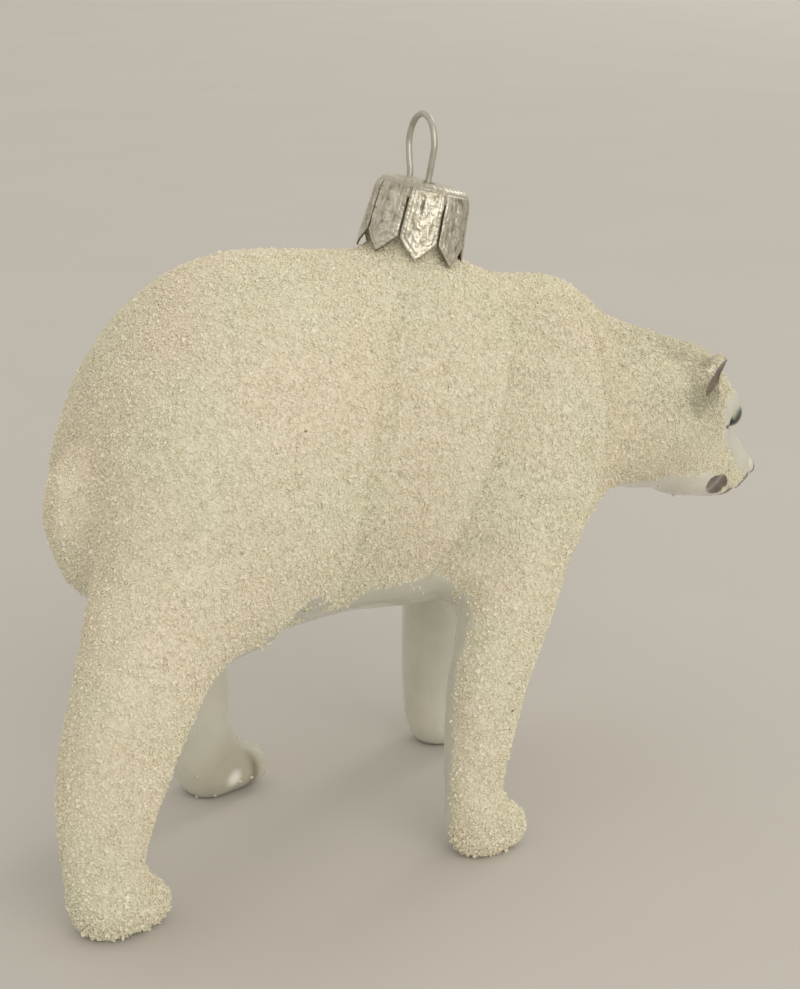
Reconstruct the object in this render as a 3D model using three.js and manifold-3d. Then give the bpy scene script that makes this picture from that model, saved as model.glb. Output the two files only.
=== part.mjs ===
// Blown-glass polar bear ornament: a bear on four paws, with a stamped metal cap and a spring-wire loop.
// Millimetres, +Z up, +X towards the nose, +Y to the bear's left. The soles of the four paws lie at Z = 0.
import * as THREE from "three";
import { mergeVertices } from "three/addons/utils/BufferGeometryUtils.js";
import Module from "manifold-3d";

const wasm = await Module();
wasm.setup();

// ---------------------------------------------------------------- driving dimensions

const GAP = 0.3; // clearance between neighbouring pieces
const RIGHT = -1; // the bear's right side is towards -Y
const LEFT = 1;

const BACK_HEIGHT = 73.6; // floor to the top of the rump
const BELLY_HEIGHT = 27.4; // floor to the underside of the belly
const HALF_WIDTH = 19.5; // half the width of the haunches

const HEAD_AT = [42.5, 2.2, 46]; // centre of the skull
const HEAD_TURN = THREE.MathUtils.degToRad(18); // the head looks to the left
const HEAD_NOD = THREE.MathUtils.degToRad(25); // and down

const CAP_AT = [-0.2, 0, 70.7]; // where the cap's axis leaves the back
const CAP_LEAN = THREE.MathUtils.degToRad(15); // the back slopes down to the shoulders there
const CAP_RADIUS = 5.8;
const CAP_FLARE = 0.55; // how far the leaf tips stand out past the shoulder of the cap
const CAP_HEIGHT = 8.6; // leaf tips to the flat of the top
const CAP_DOME = 0.7;
const CAP_SHEET = 0.35;
const LEAVES = 8;

const PIPE_RADIUS = 4.9; // the glass neck that the cap sits on
const PIPE_WALL = 0.9;

const WIRE_RADIUS = 0.35;
const LOOP_HALF_WIDTH = 3.1;
const LOOP_HEIGHT = 7.8;

// ---------------------------------------------------------------- soft forms, as distances

const point = new THREE.Vector3();

// A ball squashed to three half sizes, placed by a matrix.
function oval(centre, half, turn = [0, 0, 0], soft = 3) {
  const place = new THREE.Matrix4().compose(
    new THREE.Vector3(...centre),
    new THREE.Quaternion().setFromEuler(new THREE.Euler(...turn)),
    new THREE.Vector3(1, 1, 1),
  );
  const toLocal = place.invert();
  const [rx, ry, rz] = half;
  const distance = (x, y, z) => {
    point.set(x, y, z).applyMatrix4(toLocal);
    const near = Math.hypot(point.x / rx, point.y / ry, point.z / rz);
    const slope = Math.hypot(point.x / rx ** 2, point.y / ry ** 2, point.z / rz ** 2);
    return slope > 0 ? (near * (near - 1)) / slope : -Math.min(rx, ry, rz);
  };
  return { distance, soft };
}

// A ball that slides from one point to another while its radius changes.
function limb(from, to, fromRadius, toRadius, soft = 3) {
  const along = to.map((v, i) => v - from[i]);
  const length2 = along.reduce((sum, v) => sum + v * v, 0);
  const distance = (x, y, z) => {
    const offset = [x - from[0], y - from[1], z - from[2]];
    const dot = offset.reduce((sum, v, i) => sum + v * along[i], 0);
    const t = Math.min(1, Math.max(0, dot / length2));
    const gap = Math.hypot(...offset.map((v, i) => v - along[i] * t));
    return gap - (fromRadius + (toRadius - fromRadius) * t);
  };
  return { distance, soft };
}

// A limb along a smooth path through [x, y, z, radius] joints.
function sweep(joints, soft = 3) {
  const smooth = (points) => new THREE.CatmullRomCurve3(points, false, "catmullrom", 0.5);
  const path = smooth(joints.map(([x, y, z]) => new THREE.Vector3(x, y, z)));
  const girth = smooth(joints.map((joint, i) => new THREE.Vector3(i, joint[3], 0)));
  const count = 5 * (joints.length - 1);
  const links = Array.from({ length: count }, (_, i) => {
    const [from, to] = [i / count, (i + 1) / count];
    return limb(
      path.getPoint(from).toArray(),
      path.getPoint(to).toArray(),
      girth.getPoint(from).y,
      girth.getPoint(to).y,
    );
  });
  return { distance: (x, y, z) => Math.min(...links.map((link) => link.distance(x, y, z))), soft };
}

// Masses melted together: each one joins the rest over its own softness.
function melt(masses) {
  return (x, y, z) =>
    masses.reduce((joined, mass) => {
      const own = mass.distance(x, y, z);
      const overlap = Math.max(mass.soft - Math.abs(joined - own), 0) / mass.soft;
      return Math.min(joined, own) - (overlap * overlap * mass.soft) / 4;
    }, 1e3);
}

// ---------------------------------------------------------------- the bear's masses

const middle = (BACK_HEIGHT + BELLY_HEIGHT) / 2;
const halfDepth = (BACK_HEIGHT - BELLY_HEIGHT) / 2;

const trunk = [
  oval([-21.8, 0, middle - 0.2], [20.6, HALF_WIDTH - 0.5, halfDepth], [0, 0.26, 0]), // rump and loin
  oval([-3, 0, middle - 0.6], [24, HALF_WIDTH - 2, halfDepth - 1], [0, 0.12, 0], 6), // ribs
  oval([13.5, 0, 45.5], [13, 14, 16], [0, 0, 0], 5), // chest
  oval([18, 0, 59.2], [8.8, 8, 7.8], [0, 0.25, 0], 5), // withers
  limb([-1.5, 0, 64.5], [0, 0, 69.5], 5, 4.6, 3.5), // swell round the glass neck
];

// The thigh and shoulder muscles stand out from the flanks on both sides, leaning forward at the top.
const muscles = [RIGHT, LEFT].flatMap((side) => [
  oval([-26, side * 8.5, 49], [15.4, 12, 22.5], [0, 0.45, 0], 2.5), // thigh
  oval([13.2, side * 8, 47.5], [9.6, 9.4, 18], [0, 0.32, 0], 2.5), // shoulder
]);

// A short broad tail that lies on the rump.
const tail = [-1.3, 1.3].map((y) => sweep([
  [-43.6, y, 49.5, 1.6],
  [-43.4, y, 44, 2.6],
  [-41.8, y, 38.4, 2.5],
], 1.5));

// Each leg runs down through [x, y, z, radius] joints, and ends in a paw whose toes point forward.
const LEGS = {
  hind_right: {
    side: RIGHT,
    joints: [
      [-34, 9.5, 40.5, 9.5],
      [-40.6, 13, 29.5, 7.4],
      [-44.9, 14, 18.5, 6.3],
      [-46.6, 14.3, 9, 4.7],
      [-46.1, 14.3, 4.1, 4.5],
    ],
    toes: [-41.3, 14.3, 2.6, 3],
    root: { front: -20, inner: 26, outer: 43, tip: 0.3 },
  },
  hind_left: {
    side: LEFT,
    joints: [
      [-31, 9.5, 40.5, 9.5],
      [-27, 13, 29.5, 7.4],
      [-24.6, 14.2, 18.5, 5.6],
      [-22.8, 14.5, 9, 4.3],
      [-21.8, 14.5, 3.8, 4.2],
    ],
    toes: [-15.9, 14.5, 2.8, 2.9],
    root: { front: -11, inner: 26, outer: 43, tip: 0.3 },
  },
  front_right: {
    side: RIGHT,
    joints: [
      [10.8, 9.5, 42.5, 8],
      [6, 13.5, 30, 5.8],
      [2.4, 15, 20, 4.8],
      [0.2, 16, 8.5, 3.8],
      [0.8, 16.2, 3.4, 3.8],
    ],
    toes: [5, 16.2, 2.6, 3],
    root: { front: 28, inner: 27, outer: 41, tip: 0 },
  },
  front_left: {
    side: LEFT,
    joints: [
      [12, 9.5, 42.5, 8],
      [12.6, 13.5, 30, 5.9],
      [12.2, 14.6, 20, 5],
      [11.4, 15.4, 8.5, 4],
      [12.7, 15.4, 3.5, 4],
    ],
    toes: [17.2, 15.4, 2.6, 3],
    root: { front: 32, inner: 27, outer: 41, tip: 0 },
  },
};

function legMasses({ side, joints, toes }) {
  const sided = (joint) => joint.map((v, i) => (i === 1 ? side * v : v));
  const [ankle, tip] = [sided(joints[joints.length - 1]), sided(toes)];
  return [sweep(joints.map(sided), 3), sweep([ankle, tip], 2)];
}

// The head is modelled level and facing +X, then nodded and turned into place.
const headPlace = new THREE.Matrix4()
  .makeTranslation(...HEAD_AT)
  .multiply(new THREE.Matrix4().makeRotationZ(HEAD_TURN))
  .multiply(new THREE.Matrix4().makeRotationY(HEAD_NOD));
const toHead = headPlace.clone().invert();
const headPoint = new THREE.Vector3();

function onHead(mass) {
  const distance = (x, y, z) => {
    headPoint.set(x, y, z).applyMatrix4(toHead);
    return mass.distance(headPoint.x, headPoint.y, headPoint.z);
  };
  return { distance, soft: mass.soft };
}

const neck = [sweep([
  [16, 0, 49, 12],
  [25, 0.2, 49.6, 11.3],
  [32, 0.7, 48.3, 10.3],
]), oval([35.6, 1.1, 47.1], [6.6, 7.4, 9.7], [0, 0.2, 0.2], 3)];

const head = [
  oval([-2.2, 0, -0.6], [7.8, 6.7, 9.3], [0, 0, 0], 3), // skull
  oval([3, 0, 1.6], [4.1, 4.4, 4.6], [0, 0.5, 0], 2), // forehead
  ...[RIGHT, LEFT].map((side) => oval([4.6, side * 2.9, 2.9], [2.7, 1.8, 1.8], [0, 0.5, 0], 1.5)), // brow
  ...[RIGHT, LEFT].map((side) => oval([1.6, side * 2.7, -5.4], [5.8, 3.6, 5.2], [0, 0, 0], 2)), // cheek
  limb([6, 0, -2.4], [15.8, 0, -4.1], 4.2, 2.5, 1.5), // muzzle
  ...[RIGHT, LEFT].map((side) => oval([11, side * 1.5, -6.1], [4.5, 2, 2.6], [0, 0.1, 0], 1)), // lip
  limb([1, 0, -8.1], [10, 0, -8], 3.2, 1.9, 1.5), // jaw
].map(onHead);

const body = melt([
  ...trunk,
  ...muscles,
  ...neck,
  ...head,
  ...Object.values(LEGS).flatMap(legMasses),
]);

// Beads let into the face: the eyes and the nose pad.
const eye = (side) => ({ at: [5.1, side * 4.1, 0.9], half: [1.4, 2.3, 1.6], turn: [0, 0, side * 0.96] });
const NOSE = { at: [17.3, 0, -3.4], half: [1.8, 1.6, 1.3], turn: [0, 0.3, 0] };

function beadGeometry({ at, half, turn }, grow) {
  const bead = new THREE.SphereGeometry(1, 12, 7).scale(...half.map((v) => v + grow));
  bead.applyQuaternion(new THREE.Quaternion().setFromEuler(new THREE.Euler(...turn)));
  return bead.translate(...at).applyMatrix4(headPlace);
}

// ---------------------------------------------------------------- solids

const toSolid = (geometry) => {
  const bare = geometry.clone();
  bare.deleteAttribute("normal");
  bare.deleteAttribute("uv");
  const merged = mergeVertices(bare, 1e-4);
  return new wasm.Manifold(
    new wasm.Mesh({
      numProp: 3,
      vertProperties: merged.attributes.position.array,
      triVerts: new Uint32Array(merged.index.array),
    }),
  );
};

const toGeometry = (solid) => {
  const mesh = solid.getMesh();
  const geometry = new THREE.BufferGeometry();
  geometry.setAttribute("position", new THREE.BufferAttribute(mesh.vertProperties, 3));
  geometry.setIndex(new THREE.BufferAttribute(mesh.triVerts, 1));
  geometry.computeVertexNormals();
  return geometry;
};

// A box with its lowest and highest corners, as a region to wrap or cut with.
const region = (low, high) => ({ low, high });

function regionDistance({ low, high }, position) {
  return Math.max(...position.map((v, i) => Math.max(low[i] - v, v - high[i])));
}

// Wraps the surface of a form inside a region in quads: one vertex in each grid cell that the surface passes
// through, moved onto the surface, and one quad round each grid edge that it crosses.
function wrap(form, { low, high }, cell) {
  const closed = (x, y, z) => Math.max(form(x, y, z), regionDistance({ low, high }, [x, y, z]));
  const start = low.map((v) => v - 1.5 * cell);
  const count = high.map((v, i) => Math.ceil((v - low[i]) / cell) + 4);
  const step = [1, count[0], count[0] * count[1]];
  const values = new Float32Array(count[0] * count[1] * count[2]);
  const corner = (i, j, k) => [start[0] + i * cell, start[1] + j * cell, start[2] + k * cell];
  for (let k = 0, n = 0; k < count[2]; k++)
    for (let j = 0; j < count[1]; j++)
      for (let i = 0; i < count[0]; i++, n++) values[n] = closed(...corner(i, j, k));

  const positions = [];
  const vertexOf = new Map();
  const vertexIn = (i, j, k) => {
    const n = i + j * step[1] + k * step[2];
    if (!vertexOf.has(n)) {
      vertexOf.set(n, positions.length / 3);
      positions.push(...settle(form, closed, crossing(values, n, step, corner(i, j, k), cell)));
    }
    return vertexOf.get(n);
  };

  const triangles = [];
  for (let k = 1; k < count[2] - 1; k++)
    for (let j = 1; j < count[1] - 1; j++)
      for (let i = 1; i < count[0] - 1; i++) {
        const n = i + j * step[1] + k * step[2];
        for (let axis = 0; axis < 3; axis++) {
          const inside = values[n] < 0;
          if (inside === values[n + step[axis]] < 0) continue;
          const [u, v] = [(axis + 1) % 3, (axis + 2) % 3];
          const cellAt = (du, dv) => {
            const at = [i, j, k];
            at[u] -= du;
            at[v] -= dv;
            return vertexIn(...at);
          };
          const quad = [cellAt(1, 1), cellAt(0, 1), cellAt(0, 0), cellAt(1, 0)];
          if (!inside) quad.reverse();
          triangles.push(quad[0], quad[1], quad[2], quad[0], quad[2], quad[3]);
        }
      }
  const geometry = new THREE.BufferGeometry();
  geometry.setAttribute("position", new THREE.Float32BufferAttribute(positions, 3));
  geometry.setIndex(triangles);
  return geometry;
}

// The middle of the points where the surface crosses a cell's twelve edges.
function crossing(values, n, step, corner, cell) {
  const sum = [0, 0, 0];
  let crossings = 0;
  for (let axis = 0; axis < 3; axis++)
    for (const du of [0, 1])
      for (const dv of [0, 1]) {
        const [u, v] = [(axis + 1) % 3, (axis + 2) % 3];
        const from = values[n + du * step[u] + dv * step[v]];
        const to = values[n + du * step[u] + dv * step[v] + step[axis]];
        if (from < 0 === to < 0) continue;
        sum[axis] += from / (from - to);
        sum[u] += du;
        sum[v] += dv;
        crossings++;
      }
  return sum.map((v, i) => corner[i] + (v / crossings) * cell);
}

// Moves a vertex onto the form's own surface, unless it lies on the region's wall.
function settle(form, closed, at) {
  const NUDGE = 0.02;
  if (closed(...at) > form(...at) + NUDGE) return at;
  const value = form(...at);
  const slope = at.map((_, i) => {
    const ahead = [...at];
    ahead[i] += NUDGE;
    return (form(...ahead) - value) / NUDGE;
  });
  const steepness = slope.reduce((sum, v) => sum + v * v, 0);
  return at.map((v, i) => v - (value * slope[i]) / Math.max(steepness, 0.25));
}

// All that lies under the floor, to cut flat soles with.
const floor = toSolid(new THREE.BoxGeometry(200, 200, 40).translate(0, 0, -20));

// ---------------------------------------------------------------- the glass body, parted by thin cuts

// What belongs to one leg: all that is below the groin, and the flank under a cut that climbs from the belly
// outwards. The cut tips forward, as a groin does.
function legBlock({ side, root }, clearance) {
  const [inner, outer, groin, length] = [3, 30, 25.5, 60];
  const climb = (root.outer - root.inner) / (24 - inner);
  const topAt = (y) => root.inner + (y - inner) * climb + clearance * Math.hypot(1, climb);
  const outline = new THREE.Shape([
    new THREE.Vector2(inner - clearance, 0),
    new THREE.Vector2(outer, 0),
    new THREE.Vector2(outer, topAt(outer)),
    new THREE.Vector2(inner - clearance, topAt(inner - clearance)),
  ]);
  const flank = new THREE.ExtrudeGeometry(outline, { depth: length, bevelEnabled: false });
  flank.translate(0, 0, clearance - length).rotateX(Math.PI / 2).rotateZ(Math.PI / 2);
  flank.translate(0, 0, -root.outer).rotateY(root.tip).translate(root.front, 0, root.outer);
  const shank = new THREE.BoxGeometry(200, outer - inner + clearance, groin + clearance);
  shank.translate(0, (outer + inner - clearance) / 2, (groin + clearance) / 2);
  const solid = toSolid(flank).add(toSolid(shank));
  return side === LEFT ? solid : solid.mirror([0, 1, 0]);
}

const NECK_ROOT = { at: [24.5, 0, 48.5], turn: [0, Math.PI / 2 - 0.05, 0] };
const NECK_HEAD = { at: [35.2, 1.2, 47.5], turn: [0, Math.PI / 2 + 0.1, 0.2] };

// Everything ahead of a cut across the neck, from a distance in front of the cut.
function ahead({ at, turn }, distance) {
  const flat = new THREE.BoxGeometry(80, 80, 80).translate(0, 0, 40 + distance);
  flat.applyQuaternion(
    new THREE.Quaternion().setFromEuler(new THREE.Euler(turn[0], turn[1], turn[2], "ZYX")),
  );
  return toSolid(flat.translate(...at));
}

const PIPE_SEAT = 2.5; // depth of the glass neck's root below the back
const capPlace = new THREE.Matrix4()
  .makeTranslation(...CAP_AT)
  .multiply(new THREE.Matrix4().makeRotationY(CAP_LEAN));

// A round rod along the cap's axis.
function capRod(radius, from, to) {
  const rod = new THREE.CylinderGeometry(radius, radius, to - from, 32).rotateX(Math.PI / 2);
  return toSolid(rod.translate(0, 0, (from + to) / 2).applyMatrix4(capPlace));
}

const boreRadius = PIPE_RADIUS - PIPE_WALL;
const BORE_DEPTH = 7;

function trunkSolid() {
  let solid = toSolid(wrap(body, region([-56, -26, 22], [30, 26, 78]), 4.2));
  for (const leg of Object.values(LEGS)) solid = solid.subtract(legBlock(leg, GAP / 2));
  solid = solid.subtract(ahead(NECK_ROOT, -GAP / 2));
  solid = solid.subtract(capRod(PIPE_RADIUS + GAP, -PIPE_SEAT - GAP, 20));
  solid = solid.subtract(capRod(CAP_RADIUS + CAP_FLARE + GAP, -GAP, 20));
  return solid.subtract(capRod(boreRadius, -PIPE_SEAT - BORE_DEPTH, 0));
}

function neckSolid() {
  const solid = toSolid(wrap(body, region([18, -20, 30], [44, 20, 72]), 3.1));
  return solid.intersect(ahead(NECK_ROOT, GAP / 2)).subtract(ahead(NECK_HEAD, -GAP / 2));
}

function headSolid() {
  let solid = toSolid(wrap(body, region([30, -14, 26], [64, 22, 64]), 1.85));
  solid = solid.intersect(ahead(NECK_HEAD, GAP / 2));
  for (const bead of [eye(RIGHT), eye(LEFT), NOSE]) solid = solid.subtract(toSolid(beadGeometry(bead, GAP)));
  return solid;
}

function legSolid(leg) {
  const xs = leg.joints.map((joint) => joint[0]);
  const inner = leg.side === LEFT ? [3, 26] : [-26, -3];
  const low = [Math.min(...xs) - 12, inner[0], -4];
  const high = [Math.max(...xs) + 14, inner[1], 46];
  return toSolid(wrap(body, region(low, high), 3)).intersect(legBlock(leg, -GAP / 2)).subtract(floor);
}

// ---------------------------------------------------------------- small glass pieces that sit on the body

// A form's own shape outside the body, with a thin gap to it.
function onBody(form, around, cell, gap = GAP) {
  const core = wrap((x, y, z) => body(x, y, z) - gap, around, cell);
  return toSolid(wrap(form, around, cell)).subtract(toSolid(core));
}

function tailSolid() {
  return onBody(melt(tail), region([-54, -6, 34], [-38, 6, 58]), 1.9, 2 * GAP);
}

// A tall round ear, hollowed towards the front and leaning forward. The left one stands a little higher.
function earSolid(side) {
  const at = side === RIGHT ? [-5.6, -5.7, 4] : [-4.8, 5.9, 5.6];
  const turn = [side * -0.15, 0.4, side * 1];
  const shell = onHead(oval(at, [1.9, 3, 4.3], turn));
  const hollow = { at: [at[0] + 1, at[1] + side * 1.6, at[2] - 0.4], half: [1.5, 2.1, 3.3], turn };
  const centre = new THREE.Vector3(...at).applyMatrix4(headPlace).toArray();
  const reach = 6;
  const around = region(...[-reach, reach].map((by) => centre.map((v) => v + by)));
  return onBody(shell.distance, around, 1.15).subtract(toSolid(beadGeometry(hollow, 0)));
}

// ---------------------------------------------------------------- cap, glass neck and hanger

// The glass neck: an open tube that the body was blown through.
function pipeGeometry() {
  const top = CAP_HEIGHT - CAP_SHEET - 2 * GAP;
  const lip = 0.25; // rounding of its fire-polished rim
  const profile = [
    [boreRadius, -PIPE_SEAT],
    [PIPE_RADIUS, -PIPE_SEAT],
    [PIPE_RADIUS, top - lip],
    [PIPE_RADIUS - lip, top],
    [boreRadius + lip, top],
    [boreRadius, top - lip],
    [boreRadius, -PIPE_SEAT],
  ].map(([r, z]) => new THREE.Vector2(r, z));
  return new THREE.LatheGeometry(profile, 20).rotateX(Math.PI / 2);
}

// Half of the cap's section: over the dome, round the shoulder and down the flared skirt.
function capSection(inset) {
  const shoulder = 1.1 - inset;
  const radius = CAP_RADIUS - inset;
  const height = CAP_HEIGHT - inset;
  const halfway = (radius - shoulder) / 2;
  const outline = [
    new THREE.Vector2(0, height + CAP_DOME),
    new THREE.Vector2(halfway, height + CAP_DOME * (1 - (halfway / radius) ** 2)),
  ];
  for (const share of [0, 0.5, 1]) {
    const angle = (share * Math.PI) / 2;
    outline.push(
      new THREE.Vector2(
        radius - shoulder + shoulder * Math.sin(angle),
        height - shoulder + shoulder * Math.cos(angle),
      ),
    );
  }
  outline.push(new THREE.Vector2(radius + CAP_FLARE, 0));
  return outline;
}

// One slit between two leaves, opening into the notch between their tips.
function leafNotch(index) {
  const slit = 0.2; // half its width
  const slitTop = CAP_HEIGHT - 1.3;
  const notchTop = 2.3;
  const notchHalf = ((CAP_RADIUS + CAP_FLARE) * Math.PI) / LEAVES;
  const outline = new THREE.Shape([
    new THREE.Vector2(-slit, notchTop),
    new THREE.Vector2(-notchHalf, -0.2),
    new THREE.Vector2(-notchHalf, -1),
    new THREE.Vector2(notchHalf, -1),
    new THREE.Vector2(notchHalf, -0.2),
    new THREE.Vector2(slit, notchTop),
    new THREE.Vector2(slit, slitTop),
    new THREE.Vector2(-slit, slitTop),
  ]);
  const cutter = new THREE.ExtrudeGeometry(outline, { depth: 4, bevelEnabled: false });
  cutter.translate(0, 0, CAP_RADIUS - 2).rotateX(Math.PI / 2);
  return cutter.rotateZ((index * 2 * Math.PI) / LEAVES);
}

const HOLE_SPREAD = 2.3; // from the middle of the cap's top to each wire
const LOOP_BACK = 1.0; // the wire stands a little behind the cap's axis

function capSolid() {
  const profile = [...capSection(CAP_SHEET), ...capSection(0).reverse()];
  let solid = toSolid(new THREE.LatheGeometry(profile, 24).rotateX(Math.PI / 2));
  for (let i = 0; i < LEAVES; i++) solid = solid.subtract(toSolid(leafNotch(i)));
  for (const side of [RIGHT, LEFT]) {
    const hole = new THREE.CylinderGeometry(WIRE_RADIUS + GAP, WIRE_RADIUS + GAP, 6, 8).rotateX(Math.PI / 2);
    hole.translate(-LOOP_BACK, side * HOLE_SPREAD, CAP_HEIGHT);
    solid = solid.subtract(toSolid(hole));
  }
  return solid;
}

// The hanger: a loop above the cap whose two legs pass through its top and spring apart in the glass neck.
function hangerGeometry() {
  const half = [];
  const place = (y, s) => new THREE.Vector3(-LOOP_BACK, y, s).applyMatrix4(capPlace);
  half.push(place(boreRadius - WIRE_RADIUS - GAP - 0.15, -PIPE_SEAT - 3.5));
  half.push(place(boreRadius - WIRE_RADIUS - GAP - 0.55, -PIPE_SEAT - 1.5));
  half.push(place(HOLE_SPREAD + 0.35, CAP_HEIGHT - 5));
  half.push(place(HOLE_SPREAD, CAP_HEIGHT - 1.2));
  half.push(place(HOLE_SPREAD, CAP_HEIGHT + 1));
  const foot = place(HOLE_SPREAD, CAP_HEIGHT + 1);
  const apex = CAP_DOME + LOOP_HEIGHT;
  for (const degrees of [-28, 5, 35, 62]) {
    const angle = THREE.MathUtils.degToRad(degrees);
    const rise = apex / 2 + 0.4 + (apex / 2 - 0.4) * Math.sin(angle);
    half.push(new THREE.Vector3(foot.x, LOOP_HALF_WIDTH * Math.cos(angle), foot.z + rise - 1));
  }
  const other = half.map((p) => new THREE.Vector3(p.x, -p.y, p.z)).reverse();
  const top = new THREE.Vector3(foot.x, 0, foot.z + apex - 1);
  const path = new THREE.CatmullRomCurve3([...half, top, ...other], false, "centripetal");
  const section = new THREE.Shape();
  section.absarc(0, 0, WIRE_RADIUS, 0, 2 * Math.PI);
  return new THREE.ExtrudeGeometry(section, { steps: 40, curveSegments: 4, extrudePath: path });
}

// ---------------------------------------------------------------- materials and the ornament

const finish = (color, roughness, metalness) =>
  new THREE.MeshStandardMaterial({ color, roughness, metalness });
const snow = () => finish(0xe4dfca, 0.9, 0);
const pearl = () => finish(0xd2d1c3, 0.35, 0);
const paint = (color) => finish(color, 0.4, 0);

const ornament = new THREE.Group();
const add = (name, geometry, material) => {
  const mesh = new THREE.Mesh(geometry, material);
  mesh.name = name;
  ornament.add(mesh);
  return mesh;
};

add("trunk", toGeometry(trunkSolid()), snow());
add("neck", toGeometry(neckSolid()), snow());
add("head", toGeometry(headSolid()), snow());
add("tail", toGeometry(tailSolid()), snow());
for (const [name, leg] of Object.entries(LEGS)) add(`leg_${name}`, toGeometry(legSolid(leg)), snow());
for (const [name, side] of [
  ["right", RIGHT],
  ["left", LEFT],
]) {
  add(`ear_${name}`, toGeometry(earSolid(side)), snow());
  add(`eye_${name}`, beadGeometry(eye(side), 0), paint(0x17150f));
}
add("nose", beadGeometry(NOSE, 0), paint(0x4a443c));

const fitting = new THREE.Group();
fitting.applyMatrix4(capPlace);
ornament.add(fitting);
fitting.add(add("glass_neck", pipeGeometry(), pearl()));
fitting.add(add("cap", toGeometry(capSolid()), finish(0xb9b7ae, 0.3, 0.9)));
add("hanger", hangerGeometry(), finish(0xa7a79a, 0.35, 0.9));

// The origin is on the floor, under the middle of the ornament.
ornament.updateMatrixWorld(true);
const extent = new THREE.Box3().setFromObject(ornament);
const centre = extent.getCenter(new THREE.Vector3());
ornament.position.set(-centre.x, -centre.y, -extent.min.z);

export default ornament;
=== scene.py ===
import math
import bmesh
import bpy
import numpy as np
from mathutils import Euler, Matrix, Vector, noise
from mathutils.bvhtree import BVHTree


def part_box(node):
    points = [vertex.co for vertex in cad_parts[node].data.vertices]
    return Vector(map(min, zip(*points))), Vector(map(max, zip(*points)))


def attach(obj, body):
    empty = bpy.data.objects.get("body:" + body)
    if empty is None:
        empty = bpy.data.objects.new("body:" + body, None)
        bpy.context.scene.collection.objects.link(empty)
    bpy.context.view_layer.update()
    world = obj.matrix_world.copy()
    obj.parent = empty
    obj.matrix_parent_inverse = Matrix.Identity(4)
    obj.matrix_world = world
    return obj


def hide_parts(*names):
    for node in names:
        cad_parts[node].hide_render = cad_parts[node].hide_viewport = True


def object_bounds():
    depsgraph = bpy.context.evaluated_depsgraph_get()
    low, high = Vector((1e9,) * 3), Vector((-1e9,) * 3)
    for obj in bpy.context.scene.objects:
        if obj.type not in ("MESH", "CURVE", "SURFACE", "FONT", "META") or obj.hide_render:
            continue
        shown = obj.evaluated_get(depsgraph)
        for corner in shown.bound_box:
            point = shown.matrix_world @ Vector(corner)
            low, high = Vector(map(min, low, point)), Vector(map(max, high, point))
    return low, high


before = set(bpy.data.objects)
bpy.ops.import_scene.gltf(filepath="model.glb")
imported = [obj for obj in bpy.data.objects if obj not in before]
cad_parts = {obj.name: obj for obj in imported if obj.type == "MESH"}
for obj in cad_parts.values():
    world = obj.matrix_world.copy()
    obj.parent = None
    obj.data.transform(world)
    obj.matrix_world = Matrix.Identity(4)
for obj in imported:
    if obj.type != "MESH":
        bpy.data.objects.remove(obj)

cad_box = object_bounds()

# ==================================================================== the blown glass
# The bear is one hollow piece of glass, about 0.8 mm thick. A heated tube is blown out in a two-part mould,
# and its end stays open as the short neck in the bear's back. Its parts are made here as one unbroken skin.

MM = 0.001
RIGHT, LEFT = -1, 1
GLASS_PARTS = [
    "trunk", "neck", "head", "tail", "glass_neck",
    "leg_hind_right", "leg_hind_left", "leg_front_right", "leg_front_left",
]
CLOSING = 0.3 * MM  # each part swells by this, so that the thin cuts between them close
TAIL_CLOSING = 0.6 * MM
COARSE_VOXEL = 0.9 * MM
FINE_VOXEL = 0.5 * MM
HEAD_REACH = 17  # millimetres from the middle of the skull
HEAD_ROUNDS, LEG_ROUNDS, BODY_ROUNDS = 7, 14, 30
TAIL_REACH = (9 * MM, 14 * MM, 14 * MM)
TAIL_ROUNDS = 60


def set_out(name, content):
    """A new object in the scene, which shows a mesh, a light or a camera."""
    made = bpy.data.objects.new(name, content)
    bpy.context.scene.collection.objects.link(made)
    return made


def swollen_part(node, by):
    """The points and faces of a solid, each point moved out by this much."""
    work = bmesh.new()
    work.from_mesh(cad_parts[node].data)
    bmesh.ops.remove_doubles(work, verts=work.verts, dist=1e-6)
    work.normal_update()
    work.verts.index_update()
    points = [tuple(vert.co + vert.normal * by) for vert in work.verts]
    faces = [[vert.index for vert in face.verts] for face in work.faces]
    work.free()
    return points, faces


def joined(parts):
    """The points and faces of several forms as those of one."""
    points, faces = [], []
    for part_points, part_faces in parts:
        start = len(points)
        points.extend(part_points)
        faces.extend([start + i for i in face] for face in part_faces)
    return points, faces


def with_modifier(points, faces, kind, **settings):
    """The points and quads of a mesh after one modifier."""
    mesh = bpy.data.meshes.new("draft")
    mesh.from_pydata([tuple(p) for p in points], [], [list(map(int, face)) for face in faces])
    draft = set_out("draft", mesh)
    modifier = draft.modifiers.new(kind, kind)
    for name, value in settings.items():
        setattr(modifier, name, value)
    made = draft.evaluated_get(bpy.context.evaluated_depsgraph_get()).to_mesh()
    co = np.empty(len(made.vertices) * 3)
    made.vertices.foreach_get("co", co)
    corners = np.empty(len(made.loops), int)
    made.loops.foreach_get("vertex_index", corners)
    bpy.data.objects.remove(draft)
    bpy.data.meshes.remove(mesh)
    return co.reshape(-1, 3), corners.reshape(-1, 4)


def edges_of(quads):
    pairs = np.concatenate([quads[:, [i, (i + 1) % 4]] for i in range(4)])
    return np.unique(np.sort(pairs, axis=1), axis=0)


def neighbour_mean(values, edges):
    count = np.bincount(edges.ravel(), minlength=len(values)).clip(1)
    total = np.zeros_like(values)
    for axis in range(values.shape[1]):
        total[:, axis] += np.bincount(edges[:, 0], values[edges[:, 1], axis], len(values))
        total[:, axis] += np.bincount(edges[:, 1], values[edges[:, 0], axis], len(values))
    return total / count[:, None]


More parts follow.
